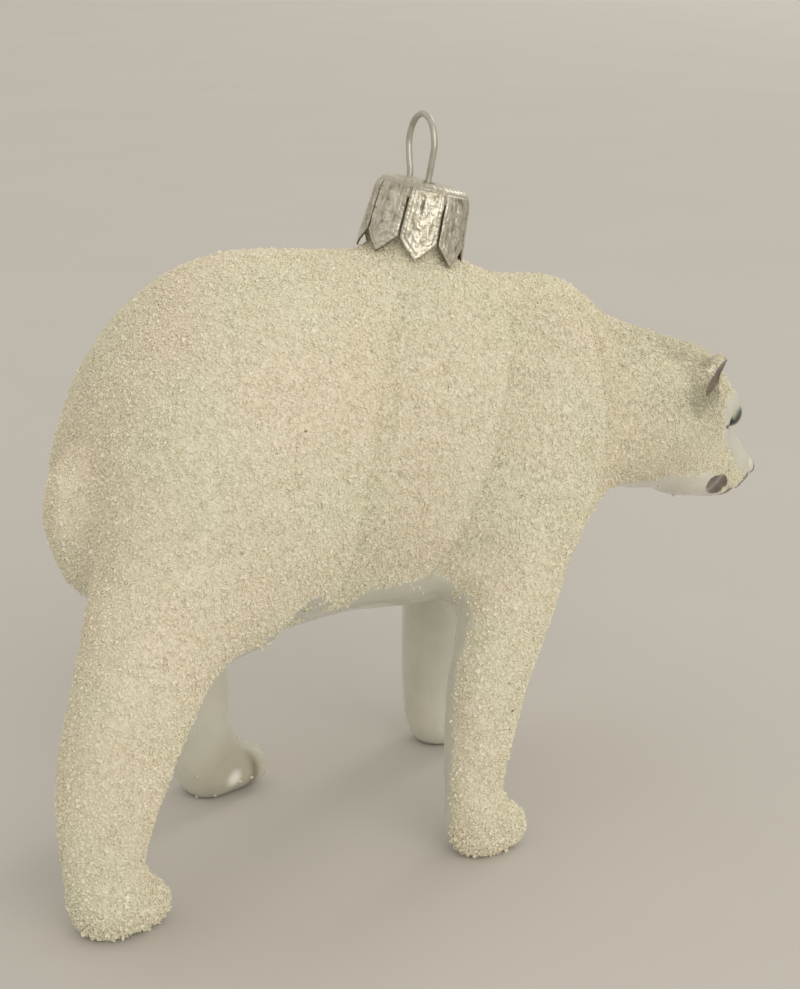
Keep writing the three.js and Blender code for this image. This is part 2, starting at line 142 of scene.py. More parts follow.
def largest_shell(points, quads):
    """Only the outer shell of a mesh, without the small ones that its hollows make."""
    edges = edges_of(quads)
    label = np.arange(len(points))
    while True:
        low = np.minimum(label[edges[:, 0]], label[edges[:, 1]])
        step = label.copy()
        np.minimum.at(step, edges[:, 0], low)
        np.minimum.at(step, edges[:, 1], low)
        step = step[step]
        if (step == label).all():
            break
        label = step
    keep = label == np.bincount(label).argmax()
    place = np.cumsum(keep) - 1
    return points[keep], place[quads[keep[quads[:, 0]]]]


def smoothed(points, quads, rounds):
    """Each round smooths and then swells back a little, so that facets go and the form keeps its size."""
    inward, outward = 0.63, -0.67
    edges = edges_of(quads)
    for done in range(int(rounds.max())):
        active = (rounds > done)[:, None]
        for share in (inward, outward):
            points = points + active * share * (neighbour_mean(points, edges) - points)
    return points


# The head's own axes, in millimetres from the middle of the skull: forward, to the bear's left, and up. They
# follow from where the two eyes and the nose lie.
EYE_SPOT = Vector((5.1, 4.1, 0.9))
NOSE_SPOT = Vector((17.3, 0.0, -3.4))


def middle(node):
    low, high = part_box(node)
    return (low + high) / 2


leftward = (middle("eye_left") - middle("eye_right")).normalized()
between_eyes = (middle("eye_left") + middle("eye_right")) / 2
to_nose = middle("nose") - between_eyes
droop = math.atan2(EYE_SPOT.z - NOSE_SPOT.z, NOSE_SPOT.x - EYE_SPOT.x)
upward = to_nose.cross(leftward).normalized()
forward = Matrix.Rotation(-droop, 3, leftward) @ leftward.cross(upward)
upward = forward.cross(leftward)
HEAD_AXES = np.array([forward, leftward, upward])
HEAD_CENTRE = np.array(between_eyes) - (EYE_SPOT.x * HEAD_AXES[0] + EYE_SPOT.z * HEAD_AXES[2]) * MM


def in_head(points):
    return (points - HEAD_CENTRE) @ HEAD_AXES.T / MM


def one_sided(points):
    """Places in the head's axes, with those on its right side moved over to the left."""
    return np.abs(in_head(points)) * (0, 1, 0) + in_head(points) * (1, 0, 1)


def from_head(points):
    return HEAD_CENTRE + np.asarray(points) * MM @ HEAD_AXES


def rounds_at(points):
    """Small forms are smoothed less than the broad back and belly."""
    head = np.linalg.norm(in_head(points), axis=1) < HEAD_REACH
    leg = points[:, 2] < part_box("trunk")[0].z
    return np.where(head, HEAD_ROUNDS, np.where(leg, LEG_ROUNDS, BODY_ROUNDS))


def filled_round(points, quads, spot, reach, rounds):
    """The creases near a spot come out towards the surface round them, and what already stands out stays."""
    edges = edges_of(quads)
    near = np.exp(-(((points - spot) / reach) ** 2).sum(axis=1))[:, None]
    inside = spot + (0.35 * max(reach), 0, 0)
    away = points - inside
    away /= np.linalg.norm(away, axis=1, keepdims=True)
    for done in range(rounds):
        out = ((neighbour_mean(points, edges) - points) * away).sum(axis=1).clip(0)
        points = points + near * away * out[:, None]
    return points


coarse = [swollen_part(node, TAIL_CLOSING if node == "tail" else CLOSING) for node in GLASS_PARTS]
points, quads = with_modifier(*joined(coarse), "REMESH", mode="VOXEL", voxel_size=COARSE_VOXEL)
points, quads = largest_shell(points, quads)
points = smoothed(points, quads, rounds_at(points))
tail_root = np.array(middle("tail")) + (4 * MM, 0, 0)
points = filled_round(points, quads, tail_root, TAIL_REACH, TAIL_ROUNDS)
points, quads = with_modifier(points, quads, "SUBSURF", levels=1)

# The ears grow out of the skull: tall round ones, a little cupped towards the front.
EARS = {
    RIGHT: {"at": (-5.6, -5.7, 4.0), "turn": (0.15, 0.4, -1.0)},
    LEFT: {"at": (-4.8, 5.9, 5.6), "turn": (-0.15, 0.4, 1.0)},
}
EAR_HALF = np.array([1.9, 3.15, 4.45])
EAR_ROUNDS = 3


def bead_form(centre, half, turn):
    """A ball's own shape, and its points and faces once it is squashed, turned and set in the head."""
    ball = bmesh.new()
    bmesh.ops.create_icosphere(ball, subdivisions=4, radius=1)
    shape = np.array([vert.co for vert in ball.verts])
    faces = [[vert.index for vert in face.verts] for face in ball.faces]
    ball.free()
    turned = (shape * half) @ np.array(Euler(turn, "ZYX").to_matrix()).T + np.array(centre)
    return shape, from_head(turned), faces


ears = [bead_form(ear["at"], EAR_HALF, ear["turn"])[1:] for ear in EARS.values()]
with_ears = joined([(points, quads), *ears])
points, quads = with_modifier(*with_ears, "REMESH", mode="VOXEL", voxel_size=FINE_VOXEL)
points, quads = largest_shell(points, quads)
points = smoothed(points, quads, np.full(len(points), EAR_ROUNDS))

# The face has finer forms than the body, so its mesh is twice as fine.
FACE_MIDDLE = (3, 0, -1)
FACE_RADIUS = 15
work = bmesh.new()
made = [work.verts.new(p) for p in points]
for quad in quads:
    work.faces.new([made[i] for i in quad])
work.verts.index_update()
near_face = np.linalg.norm(in_head(points) - FACE_MIDDLE, axis=1) < FACE_RADIUS
face_edges = [e for e in work.edges if all(near_face[v.index] for v in e.verts)]
bmesh.ops.subdivide_edges(work, edges=face_edges, cuts=1, use_grid_fill=True)
work.normal_update()
work.verts.index_update()
glass = bpy.data.meshes.new("glass_skin")
work.to_mesh(glass)
work.free()


def vectors(mesh, kind):
    values = np.empty(len(mesh.vertices) * 3)
    mesh.vertices.foreach_get(kind, values)
    return values.reshape(-1, 3)


points = vectors(glass, "co")
head_points = in_head(points)


def mound(centre, half, height):
    """A soft mound, or with a height below zero a soft hollow, in millimetres of the head's axes."""
    spread = ((head_points - centre) / half) ** 2
    return height * np.exp(-spread.sum(axis=1))


def distance_to_line(places, corners):
    """From each place to a line through some corners."""
    nearest = np.full(len(places), np.inf)
    for start, end in zip(corners[:-1], corners[1:]):
        start, run = np.array(start, float), np.subtract(end, start).astype(float)
        share = ((places - start) @ run / (run @ run)).clip(0, 1)
        nearest = np.minimum(nearest, np.linalg.norm(places - start - share[:, None] * run, axis=1))
    return nearest


def furrow(corners, width, depth):
    return -depth * np.exp(-((distance_to_line(head_points, corners) / width) ** 2))


# The mould gives each flank three soft folds that run down it: the front edge of the haunch, the hollow
# behind the shoulder and the shoulder's front edge. The glass steps in at each and slowly comes out again.
FLANK_LINES = [  # places along the body and up it, then the depth of the step, and how far ahead it reaches
    {"x": (-6.8, -14.1, -16.9, -19.3, -20.5), "z": (71, 63, 54, 43, 33), "depth": 0.7, "reach": 9},
    {"x": (5.7, 3.1, 0.3, -3.3, -7.5), "z": (67, 61, 53, 44, 34), "depth": 1.0, "reach": 8},
    {"x": (16.0, 15.2, 14.9, 12.7, 8.7), "z": (66, 60, 51, 40, 34), "depth": 0.95, "reach": 8},
]
STEP_WIDTH, LIP_WIDTH, LIP_SHARE = 2.4, 2.2, 0.15
FADE_ABOVE, FADE_BELOW = 4, 6


def ahead_of_line(places, x, z):
    """How far ahead of a line each place lies, in millimetres, and 1 along the line but 0 past its ends."""
    up = places[:, 2] / MM
    ahead = places[:, 0] / MM - np.polynomial.Polynomial.fit(z, x, 3)(up)
    within_top = ((z[0] + 1 - up) / FADE_ABOVE).clip(0, 1)
    within_foot = ((up - z[-1] + 2) / FADE_BELOW).clip(0, 1)
    return ahead, within_top * within_foot


def flank_form(x, z, depth, reach):
    """How far the glass stands out along one line, in millimetres: a low lip, a step in and a slow rise."""
    ahead, fade = ahead_of_line(points, x, z)
    share = (ahead / STEP_WIDTH + 0.4).clip(0, 1)
    step = share * share * (3 - 2 * share) * np.exp(-(((ahead - STEP_WIDTH / 2).clip(0) / reach) ** 2))
    lip = LIP_SHARE * np.exp(-(((ahead + LIP_WIDTH / 2) / LIP_WIDTH) ** 2))
    return depth * (lip - step) * fade


relief = np.zeros(len(points))
faces_aside = ((np.abs(vectors(glass, "normal")[:, 1]) - 0.15) / 0.5).clip(0, 1)
for form in FLANK_LINES:
    relief += flank_form(**form) * faces_aside
for side in (RIGHT, LEFT):
    relief += mound((3.6, side * 4.6, 1.7), (2.3, 2.2, 2.1), 0.75)  # the lid, which covers most of the eye
    relief += mound((7.2, side * 3.6, -1.6), (1.8, 1.6, 1.1), -0.35)  # hollow under the eye
    relief += mound((15.4, side * 2.4, -3.6), (1.6, 0.9, 0.8), -0.3)  # behind the nostril
    mouth = np.array([(5.6, 4.6, -8.3), (9.0, 3.6, -8.3), (13.0, 2.6, -7.9), (16.8, 0.9, -6.0)])
    relief += furrow(mouth * (1, side, 1), 0.45, 0.35)
relief += furrow([(8.5, 0, 2.6), (12.5, 0, -0.2)], 0.8, 0.15)  # along the bridge of the muzzle
relief += mound((-10.3, 0, 6.8), (3.0, 7.0, 3.0), -0.95)  # the nape steps down to the skull
points += vectors(glass, "normal") * relief[:, None] * MM

# Each ear is cupped: what lies in an oval in front of it is pressed back to the oval's far side.
CUP_HALF = np.array([1.1, 2.3, 3.3])
CUP_SHIFT = np.array([1.0, 1.7, 0.3])  # ahead of its ear, further out, and higher
CUP_OUT = 0.16  # how much further out than its ear a cup faces
CUP_REACH = 1.6  # how far ahead of a cup the glass is pressed back, in half depths
in_cup = np.zeros(len(points))
for side, ear in EARS.items():
    cup_at = np.array(ear["at"]) + CUP_SHIFT * (1, side, 1)
    turn = np.array(ear["turn"]) + (0, 0, side * CUP_OUT)
    axes = np.array(Euler(turn, "ZYX").to_matrix())
    local = ((in_head(points) - cup_at) @ axes) / CUP_HALF
    across = (local[:, 1:] ** 2).sum(axis=1)
    floor_x = -np.sqrt((1 - across).clip(0, 1))
    pressed = (across < 1) & (local[:, 0] > floor_x) & (local[:, 0] < CUP_REACH)
    local[pressed, 0] = floor_x[pressed]
    in_cup = np.maximum(in_cup, pressed * (1 - across.clip(0, 1)))
    points[pressed] = from_head((local * CUP_HALF)[pressed] @ axes.T + cup_at)

glass.vertices.foreach_set("co", points.ravel())
glass.update()

# ==================================================================== where the snow is glued
# The figure is brushed with glue on its back, flanks, face and the outsides of its legs, and rolled in grit.
# Its belly, throat, muzzle and the insides of its legs stay bare glass, with a ragged edge between.

# Along the belly, the glue ends where the surface faces down more than this.
BELLY_EDGE = [(-30, -0.7), (-18.6, -0.76), (-13.9, -0.62), (-8.5, -0.5), (-3, -0.45), (3, -0.6)]
BELLY_TURN, LEG_TURN = 9, 5  # millimetres along the surface, for one unit of the way it faces

# The short glass neck inside the cap stays bare, round the cap's own axis.
CAP_LEAN = math.radians(15)
CAP_HEIGHT, CAP_DOME = 8.6, 0.7
CAP_AXIS = np.array([math.sin(CAP_LEAN), 0, math.cos(CAP_LEAN)])
cap_corners = vectors(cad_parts["cap"].data, "co")
CAP_FOOT = cap_corners[(cap_corners @ CAP_AXIS).argmax()] - CAP_AXIS * (CAP_HEIGHT + CAP_DOME) * MM
NECK_BARE_FROM, NECK_BARE_RADIUS = 2.6, 7

# Heights on the legs, in millimetres. Between the last two, a leg's edge of glue runs out into the flank.
PAW_TOP, LEGS_ONLY, GROIN, HIP_FOOT, HIP_TOP = 4, 24, 32, 36, 42
LEG_EDGES = {  # the way the bare side faces, and how far round the grit reaches at the paw and at the groin
    "leg_hind_right": ((0.0, 1.0), 0.75, 0.6),
    "leg_hind_left": ((0.0, -1.0), -0.4, -0.3),
    "leg_front_right": ((-0.35, 0.94), 0.3, 0.08),
    "leg_front_left": ((-0.35, -0.94), -0.6, -0.6),
}

# Where the face's own edge of glue gives way to the neck's, and that to the body's, in millimetres.
FACE_HEART, FACE_EDGE = (4, 0, -2), 18
HEAD_END, NECK_END = 34, 42
NECK_FACING = -0.86  # the glue of the neck ends where it faces down more than this
BROW_X = 2.6
EYE_BARE, EYE_BARE_HALF = (4.8, 0.9), (5.4, 3.4)  # the bare oval round each eye, along the head and up it

# Along the head, how high the bare throat reaches, and below what height the sides of the muzzle are glued.
THROAT_EDGE = [(-13, -11.9), (-10.3, -11.0), (-7.1, -9.8), (-1.8, -8.5), (2.5, -7.3), (5, -7.6), (8.4, -8.9)]
MUZZLE_EDGE = [(3.2, -2.4), (4.6, -2.7), (8.4, -3.6), (10.6, -4.0), (13.5, -4.8), (15.5, -7.0), (17, -12)]


def ragged(places, size, seed):
    """A number from -1 to 1 that changes over about this size, in millimetres."""
    shift = Vector((seed * 7.3, seed * 3.1, seed * 5.7))
    return np.array([noise.noise(Vector(place) / (size * MM) + shift) for place in places])


def glue_depth(places, normals):
    """How far inside the glued area a place lies, in millimetres, and below zero outside it."""
    x, y, z = (places / MM).T
    facing = normals[:, 2] - np.interp(x, *zip(*BELLY_EDGE))
    depth = np.where(z < LEGS_ONLY, 5, facing * BELLY_TURN + (z - HIP_FOOT).clip(0, 10))
    for node, ((to_x, to_y), at_paw, at_groin) in LEG_EDGES.items():
        low, high = (np.array(corner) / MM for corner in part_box(node))
        side = RIGHT if low[1] < 0 else LEFT
        own = (x > low[0] - 4) & (x < high[0] + 4) & (y * side > 2) & (z < HIP_TOP)
        climb = ((z - PAW_TOP) / (GROIN - PAW_TOP)).clip(0, 1)
        edge = at_paw + (at_groin - at_paw) * climb
        round_leg = (edge - normals[:, 0] * to_x - normals[:, 1] * to_y) * LEG_TURN
        fade = ((z - HIP_FOOT) / (HIP_TOP - HIP_FOOT)).clip(0, 1) * 8
        depth = np.where(own, np.minimum(depth, round_leg + fade), depth)
    head = one_sided(places)
    hx, hz = head[:, 0], head[:, 2]
    on_neck = ((np.linalg.norm(head, axis=1) - HEAD_END) / (NECK_END - HEAD_END)).clip(0, 1)
    under_neck = (normals[:, 2] - NECK_FACING) * BELLY_TURN
    throat = hz - np.interp(hx, *zip(*THROAT_EDGE))
    brow = BROW_X - hx
    from_eye = (head[:, [0, 2]] - EYE_BARE) / EYE_BARE_HALF
    eyes = EYE_BARE_HALF[1] * (np.linalg.norm(from_eye, axis=1) - 1)
    muzzle = np.interp(hx, *zip(*MUZZLE_EDGE)) - hz
    face = np.minimum(throat, np.maximum(np.minimum(brow, eyes), muzzle))
    from_foot = places - CAP_FOOT
    climbed = from_foot @ CAP_AXIS / MM
    from_axis = np.linalg.norm(from_foot / MM - climbed[:, None] * CAP_AXIS, axis=1)
    depth = np.where((climbed > NECK_BARE_FROM) & (from_axis < NECK_BARE_RADIUS), -2, depth)
    on_head = ((FACE_EDGE - np.linalg.norm(head - FACE_HEART, axis=1)) / 4).clip(0, 1)
    near_head = under_neck + (face - under_neck) * on_head
    return near_head + (depth.clip(None, 9) - near_head) * on_neck


# The edge of the glue is ragged, more so on the body than on the head.
normals = vectors(glass, "normal")
glue = glue_depth(points, normals)
on_body = ((np.linalg.norm(in_head(points), axis=1) - 20) / 6 * (points[:, 2] > 27 * MM)).clip(0, 1)
glue += (0.9 + 1.8 * on_body) * ragged(points, 3.0, 1)
glue += (0.6 + 0.7 * on_body) * ragged(points, 1.1, 2)

SMUDGE = [(-4.2, 6.2, 3.2), (-6.4, 7.0, 1.8), (-8.6, 7.6, 0.4)]  # an olive smear below each ear
sided = one_sided(points)


def patch(centre, half):
    return (np.linalg.norm((sided - centre) / half, axis=1) - 1) * min(half)


def stroke(corners, width):
    return distance_to_line(sided, corners) - width


# The mouth is a dab at its corner, a broad stroke along it and a thin one round the front of the lip.
mouth_mark = np.minimum.reduce([
    patch((3.7, 5.2, -8.2), (1.8, 2.6, 1.2)),
    stroke([(4.6, 4.9, -8.1), (8.6, 3.0, -7.9)], 1.75),
    stroke([(11.6, 2.0, -9.0), (13.2, 2.7, -7.4), (14.6, 2.6, -5.7), (15.2, 2.2, -5.0)], 0.8),
])
glue = np.minimum(glue, 1.5 - 6 * ((in_cup > 0.02) | (mouth_mark < 0.1)))
covered = (glue / 0.6 + 0.5).clip(0, 1)


def mark(mesh, name, values):
    attribute = mesh.attributes.new(name, "FLOAT", "POINT")
    attribute.data.foreach_set("value", np.asarray(values, np.float32))


# The skin lies inside the solids by the depth of the grit where it is glued, and just inside them where bare.
GRIT_DEPTH = 0.2 * MM
BARE_DEPTH = 0.02 * MM
SOLE_HEIGHT = 0.15 * MM
uneven = 0.07 * ragged(points, 2.6, 3) + 0.04 * ragged(points, 0.9, 4)
points += normals * ((uneven * MM - GRIT_DEPTH) * covered - CLOSING - BARE_DEPTH)[:, None]
points[:, 2] = points[:, 2].clip(SOLE_HEIGHT, None)
glass.vertices.foreach_set("co", points.ravel())
glass.update()
glass.shade_smooth()
normals = vectors(glass, "normal")

# ==================================================================== lacquer
# The bare glass has a pearly white lacquer, silvery green where it is thin. The cups of the ears, the mouth
# and the tip of the nose are touched with brown-grey, and the eyes with black, by brush.

# A short black stroke runs back from each eye, seen here from the side, and widens on its way forward. Its
# back end is a painted eye-line, and its front end under the eye is painted shadow.
EYE_CORNER = [(1.7, 0, -0.7), (3.2, 0, -0.3), (4.4, 0, -0.2)]
EYE_CORNER_BACK, EYE_CORNER_INNER = 0.9, 2.5
widening = 0.1 + 0.12 * (sided[:, 0] - EYE_CORNER_BACK).clip(0, 3)
eye_corner = distance_to_line(sided * (1, 0, 1), EYE_CORNER) - widening
eye_corner += 9 * (sided[:, 1] < EYE_CORNER_INNER)
ear_mark = (0.2 - in_cup) * 3
from_smudge = distance_to_line(sided, SMUDGE)
mark(glass, "covered", covered)
mark(glass, "brown", np.minimum(mouth_mark, ear_mark))
mark(glass, "smudge", ((2.6 - from_smudge) * 0.55).clip(0, 0.85))
mark(glass, "black", eye_corner)

# The bare toes of the left hind paw are silvered, with a painted highlight spot, and a brown rim in front and
# below it, which is painted shade along the toe's edge.
TOE_SPOT = (-6.4, 10.6, 2.9)  # millimetres, from the front of the paw along the body
TOE_RIM_RADIUS, TOE_RIM_WIDTH = 3.7, 0.7
TOE_RIM_WAY = (0.88, -0.47, -0.45)
toe_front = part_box("leg_hind_left")[1].x
from_toe_spot = (points - (toe_front, 0, 0)) / MM - TOE_SPOT
toe_spot_radius = np.linalg.norm(from_toe_spot, axis=1)
shaded_side = ((from_toe_spot @ TOE_RIM_WAY + 0.5) / 2.5).clip(0, 1)
mark(glass, "silvered", (1.9 - toe_spot_radius / 4.0).clip(0, 1))
mark(glass, "toe_rim_shade", np.exp(-(((toe_spot_radius - TOE_RIM_RADIUS) / TOE_RIM_WIDTH) ** 2)) * 0.85 * shaded_side)
mark(glass, "painted_highlight", (1.5 - toe_spot_radius).clip(0, 1))

skin = set_out("glass_skin", glass)


def new_material(name):
    material = bpy.data.materials.new(name)
    material.use_nodes = True
    nodes, links = material.node_tree.nodes, material.node_tree.links
    return material, nodes, links, nodes["Principled BSDF"]


def attribute_node(nodes, name):
    node = nodes.new("ShaderNodeAttribute")
    node.attribute_name = name
    return node.outputs["Fac"]


def noise_node(nodes, links, size_mm, detail=3.0, rough=0.55):
    """Noise in the object's own place, with features of about this size."""
    place = nodes.new("ShaderNodeTexCoord")
    node = nodes.new("ShaderNodeTexNoise")
    node.inputs["Scale"].default_value = 1 / (size_mm * MM)
    node.inputs["Detail"].default_value = detail
    node.inputs["Roughness"].default_value = rough
    links.new(place.outputs["Object"], node.inputs["Vector"])
    return node.outputs["Fac"]


def feed(links, sockets, values):
    for socket, value in zip(sockets, values):
        if isinstance(value, bpy.types.NodeSocket):
            links.new(value, socket)
        elif isinstance(value, tuple):
            socket.default_value = (*value, 1)
        else:
            socket.default_value = value


def math_node(nodes, links, operation, *values, clamp=False):
    node = nodes.new("ShaderNodeMath")
    node.operation = operation
    node.use_clamp = clamp
    feed(links, node.inputs, values)
    return node.outputs[0]


def ramp_node(nodes, links, value, stops):
    node = nodes.new("ShaderNodeValToRGB")
    ramp = node.color_ramp
    for i, (place, colour) in enumerate(stops):
        stop = ramp.elements[i] if i < 2 else ramp.elements.new(place)
        stop.position = place
        stop.color = (*colour, 1)
    links.new(value, node.inputs["Fac"])
    return node.outputs["Color"]


def mixed_colour(nodes, links, share, under, over, blend="MIX"):
    node = nodes.new("ShaderNodeMixRGB")
    node.blend_type = blend
    feed(links, node.inputs, (share, under, over))
    return node.outputs["Color"]


def bump_node(nodes, links, shader, height, strength, distance_mm):
    node = nodes.new("ShaderNodeBump")
    feed(links, (node.inputs["Strength"], node.inputs["Distance"]), (strength, distance_mm * MM))
    links.new(height, node.inputs["Height"])
    links.new(node.outputs["Normal"], shader.inputs["Normal"])


def brushed(nodes, links, name, wobble_mm=0.25):
    """1 inside a brushed mark and 0 outside it, with a slightly uneven edge."""
    uneven = math_node(nodes, links, "MULTIPLY_ADD", noise_node(nodes, links, 0.9), wobble_mm, -wobble_mm / 2)
    edge = math_node(nodes, links, "ADD", attribute_node(nodes, name), uneven)
    return math_node(nodes, links, "MULTIPLY_ADD", edge, -8.0, 0.5, clamp=True)


PEARL = (0.73, 0.72, 0.63)
PEARL_SHADE = (0.64, 0.65, 0.56)
GLUE_WHITE = (0.82, 0.79, 0.68)
OLIVE = (0.29, 0.26, 0.17)
BROWN = (0.24, 0.205, 0.145)
DARK_BROWN = (0.12, 0.095, 0.07)
SILVER = (0.50, 0.49, 0.40)
PAINTED_HIGHLIGHT = (0.97, 0.96, 0.92)
BLACK = (0.012, 0.012, 0.011)

lacquer, nodes, links, shader = new_material("pearl_lacquer")
cloud = ramp_node(nodes, links, noise_node(nodes, links, 7.0), [(0.35, PEARL_SHADE), (0.65, PEARL)])
under_grit = mixed_colour(nodes, links, attribute_node(nodes, "covered"), cloud, GLUE_WHITE)
smudged = mixed_colour(nodes, links, attribute_node(nodes, "smudge"), under_grit, OLIVE)
silvered = mixed_colour(nodes, links, attribute_node(nodes, "silvered"), smudged, SILVER)
brown = ramp_node(nodes, links, noise_node(nodes, links, 2.5), [(0.35, DARK_BROWN), (0.65, BROWN)])
# Painted shade along the toe's rim, then the painted highlight spot on the toe.
with_rim_shade = mixed_colour(nodes, links, attribute_node(nodes, "toe_rim_shade"), silvered, BROWN)
with_painted_highlight = mixed_colour(nodes, links, attribute_node(nodes, "painted_highlight"), with_rim_shade, PAINTED_HIGHLIGHT)
with_brown = mixed_colour(nodes, links, brushed(nodes, links, "brown"), with_painted_highlight, brown)
with_black = mixed_colour(nodes, links, brushed(nodes, links, "black", 0.1), with_brown, BLACK)
links.new(with_black, shader.inputs["Base Color"])
rougher = math_node(nodes, links, "MULTIPLY_ADD", attribute_node(nodes, "covered"), 0.5, 0.17)
links.new(rougher, shader.inputs["Roughness"])
shader.inputs["Coat Weight"].default_value = 0.35
shader.inputs["Coat Roughness"].default_value = 0.08
bump_node(nodes, links, shader, noise_node(nodes, links, 1.6, 2.0), 0.25, 0.05)
glass.materials.append(lacquer)
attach(skin, "root")
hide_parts("ear_right", "ear_left", *GLASS_PARTS)

# ==================================================================== eyes
# Each eye is a bulge in the glass under a bare upper lid. Its middle is painted with glossy black lacquer,
# which thins out to a smoky green towards the lid. Its lower edge is black too, partly lacquer and partly
# painted shadow under the bulge.

EYE_HALF = (1.45, 2.25, 1.75)
EYE_RAISED, EYE_SUNK = 0.7, 0.2
EYE_TURN = 0.96


def smooth_mesh(name, points, faces, material):
    mesh = bpy.data.meshes.new(name)
    mesh.from_pydata([tuple(p) for p in points], [], faces)
    mesh.materials.append(material)
    mesh.shade_smooth()
    return mesh


def piece(name, points, faces, material):
    made = set_out(name, smooth_mesh(name, points, faces, material))
    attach(made, "root")
    return made


EYE_STOPS = [(0.0, (0.66, 0.66, 0.57)), (0.38, (0.48, 0.51, 0.43)), (0.62, (0.17, 0.19, 0.16)), (0.8, BLACK)]
eye_lacquer, nodes, links, shader = new_material("eye_lacquer")
uneven = math_node(nodes, links, "MULTIPLY_ADD", noise_node(nodes, links, 0.8), 0.12, -0.06)
shade = math_node(nodes, links, "ADD", attribute_node(nodes, "painted"), uneven)
links.new(ramp_node(nodes, links, shade, EYE_STOPS), shader.inputs["Base Color"])
shader.inputs["Roughness"].default_value = 0.12
shader.inputs["Coat Weight"].default_value = 0.6
shader.inputs["Coat Roughness"].default_value = 0.05
for name, side in (("right", RIGHT), ("left", LEFT)):
    centre = (EYE_SPOT.x - EYE_SUNK, side * (EYE_SPOT.y - EYE_SUNK), EYE_SPOT.z + EYE_RAISED)
    shape, eye_points, faces = bead_form(centre, EYE_HALF, (0, 0, side * EYE_TURN))
    eye = piece(f"painted_eye_{name}", eye_points, faces, eye_lacquer)
    mark(eye.data, "painted", np.maximum(shape[:, 0] - 0.25 * shape[:, 2] + 0.05, -1.3 * shape[:, 2]))
    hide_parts(f"eye_{name}")

# ==================================================================== nose
# A small round bump at the end of the muzzle, bare pearl at its sides, with a brown-grey touch on its tip.
# Two shallow nostrils are pressed into it.

NOSE_HALF = (1.75, 1.55, 1.25)
NOSE_DROOP = 0.3
NOSTRIL, NOSTRIL_HALF = (0.82, 0.5, -0.25), (0.3, 0.24, 0.3)  # in half widths of the nose
NOSTRIL_DEPTH = 0.35 * MM
NOSE_TIP = (0.13, 0.12, 0.11)
shape, nose_points, faces = bead_form(NOSE_SPOT, NOSE_HALF, (0, NOSE_DROOP, 0))
for side in (RIGHT, LEFT):
    nostril = np.linalg.norm((shape * (1, side, 1) - NOSTRIL) / NOSTRIL_HALF, axis=1)
    nose_points -= NOSTRIL_DEPTH * np.exp(-nostril**2)[:, None] * HEAD_AXES[0]
nose_lacquer, nodes, links, shader = new_material("nose_lacquer")
tip = brushed(nodes, links, "tip", 0.2)
links.new(mixed_colour(nodes, links, tip, PEARL, NOSE_TIP), shader.inputs["Base Color"])
shader.inputs["Roughness"].default_value = 0.2
nose = piece("painted_nose", nose_points, faces, nose_lacquer)
mark(nose.data, "tip", 0.2 - 1.3 * shape[:, 0] - 0.45 * shape[:, 2])
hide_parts("nose")

# ==================================================================== snow grit
# Fine cream-white glass grit, up to half a millimetre across, glued over the lacquer in one uneven layer. It
# is finer on the face, and coarser and heaped at the paws.

GRAIN_HALF = 0.16 * MM
FACE_GRAIN_HALF = 0.112 * MM
GRAINS_IN_PIECE = 30000
GRAINS_TO_MM2, FACE_GRAINS_TO_MM2 = 18.0, 27.0
STEP_U, STEP_V = 0.75488, 0.56984  # steps that fill a square evenly, from the plastic number
PAW_HEIGHT = 8 * MM  # the grit clumps below this
NAPE_MIDDLE, NAPE_HALF = (-10, 0, 3), (11, 1, 7)
PATCH_HALF = 0.0015  # of each grain's patch on the unwrap
dice = np.random.default_rng(24)


def corners_of_quads(mesh):
    """The corners of every face, four to each, where a triangle has its last one twice."""
    return np.array([[*face.vertices, face.vertices[-1]][:4] for face in mesh.polygons])


# The grains lie evenly over each small patch of the skin, with more of the finer ones on the face.
patches = corners_of_quads(glass)
on_face = ((FACE_RADIUS + 4 - np.linalg.norm(in_head(points) - FACE_MIDDLE, axis=1)) / 6).clip(0, 1)
diagonals = points[patches[:, 2]] - points[patches[:, 0]], points[patches[:, 3]] - points[patches[:, 1]]
area = np.linalg.norm(np.cross(*diagonals), axis=1) / 2 / MM**2
wanted = GRAINS_TO_MM2 + (FACE_GRAINS_TO_MM2 - GRAINS_TO_MM2) * on_face[patches[:, 0]]
wanted = wanted * area * covered[patches].mean(axis=1).clip(0.002, 1)
in_patch = np.floor(wanted + dice.random(len(patches))).astype(int)
chosen_patch = np.repeat(np.arange(len(patches)), in_patch)
turn_taken = np.arange(len(chosen_patch)) - np.repeat(np.cumsum(in_patch) - in_patch, in_patch)
start_u, start_v = dice.random((2, len(patches)))
u = (start_u[chosen_patch] + turn_taken * STEP_U) % 1
v = (start_v[chosen_patch] + turn_taken * STEP_V) % 1
weights = np.stack([(1 - u) * (1 - v), u * (1 - v), u * v, (1 - u) * v], axis=1)


def on_patch(values):
    """The values at each grain, from those at the corners of its patch."""
    values = values.reshape(len(points), -1)
    return np.einsum("nc,ncd->nd", weights, values[patches[chosen_patch]])


roots, root_normals, root_face = on_patch(points), on_patch(normals), on_patch(on_face)[:, 0]
count = len(roots)
paw = (1 - roots[:, 2] / PAW_HEIGHT).clip(0, 1)
half = GRAIN_HALF + (FACE_GRAIN_HALF - GRAIN_HALF) * root_face
half = half * np.exp(dice.normal(0, 0.24, count)).clip(0.55, 1.9) * (1 + 0.2 * paw)
lift = half * (dice.uniform(-0.1, 0.6, count) + 0.9 * paw * dice.random(count) ** 2)
centres = roots + dice.normal(0, 0.2, (count, 3)) * half[:, None] + root_normals * lift[:, None]

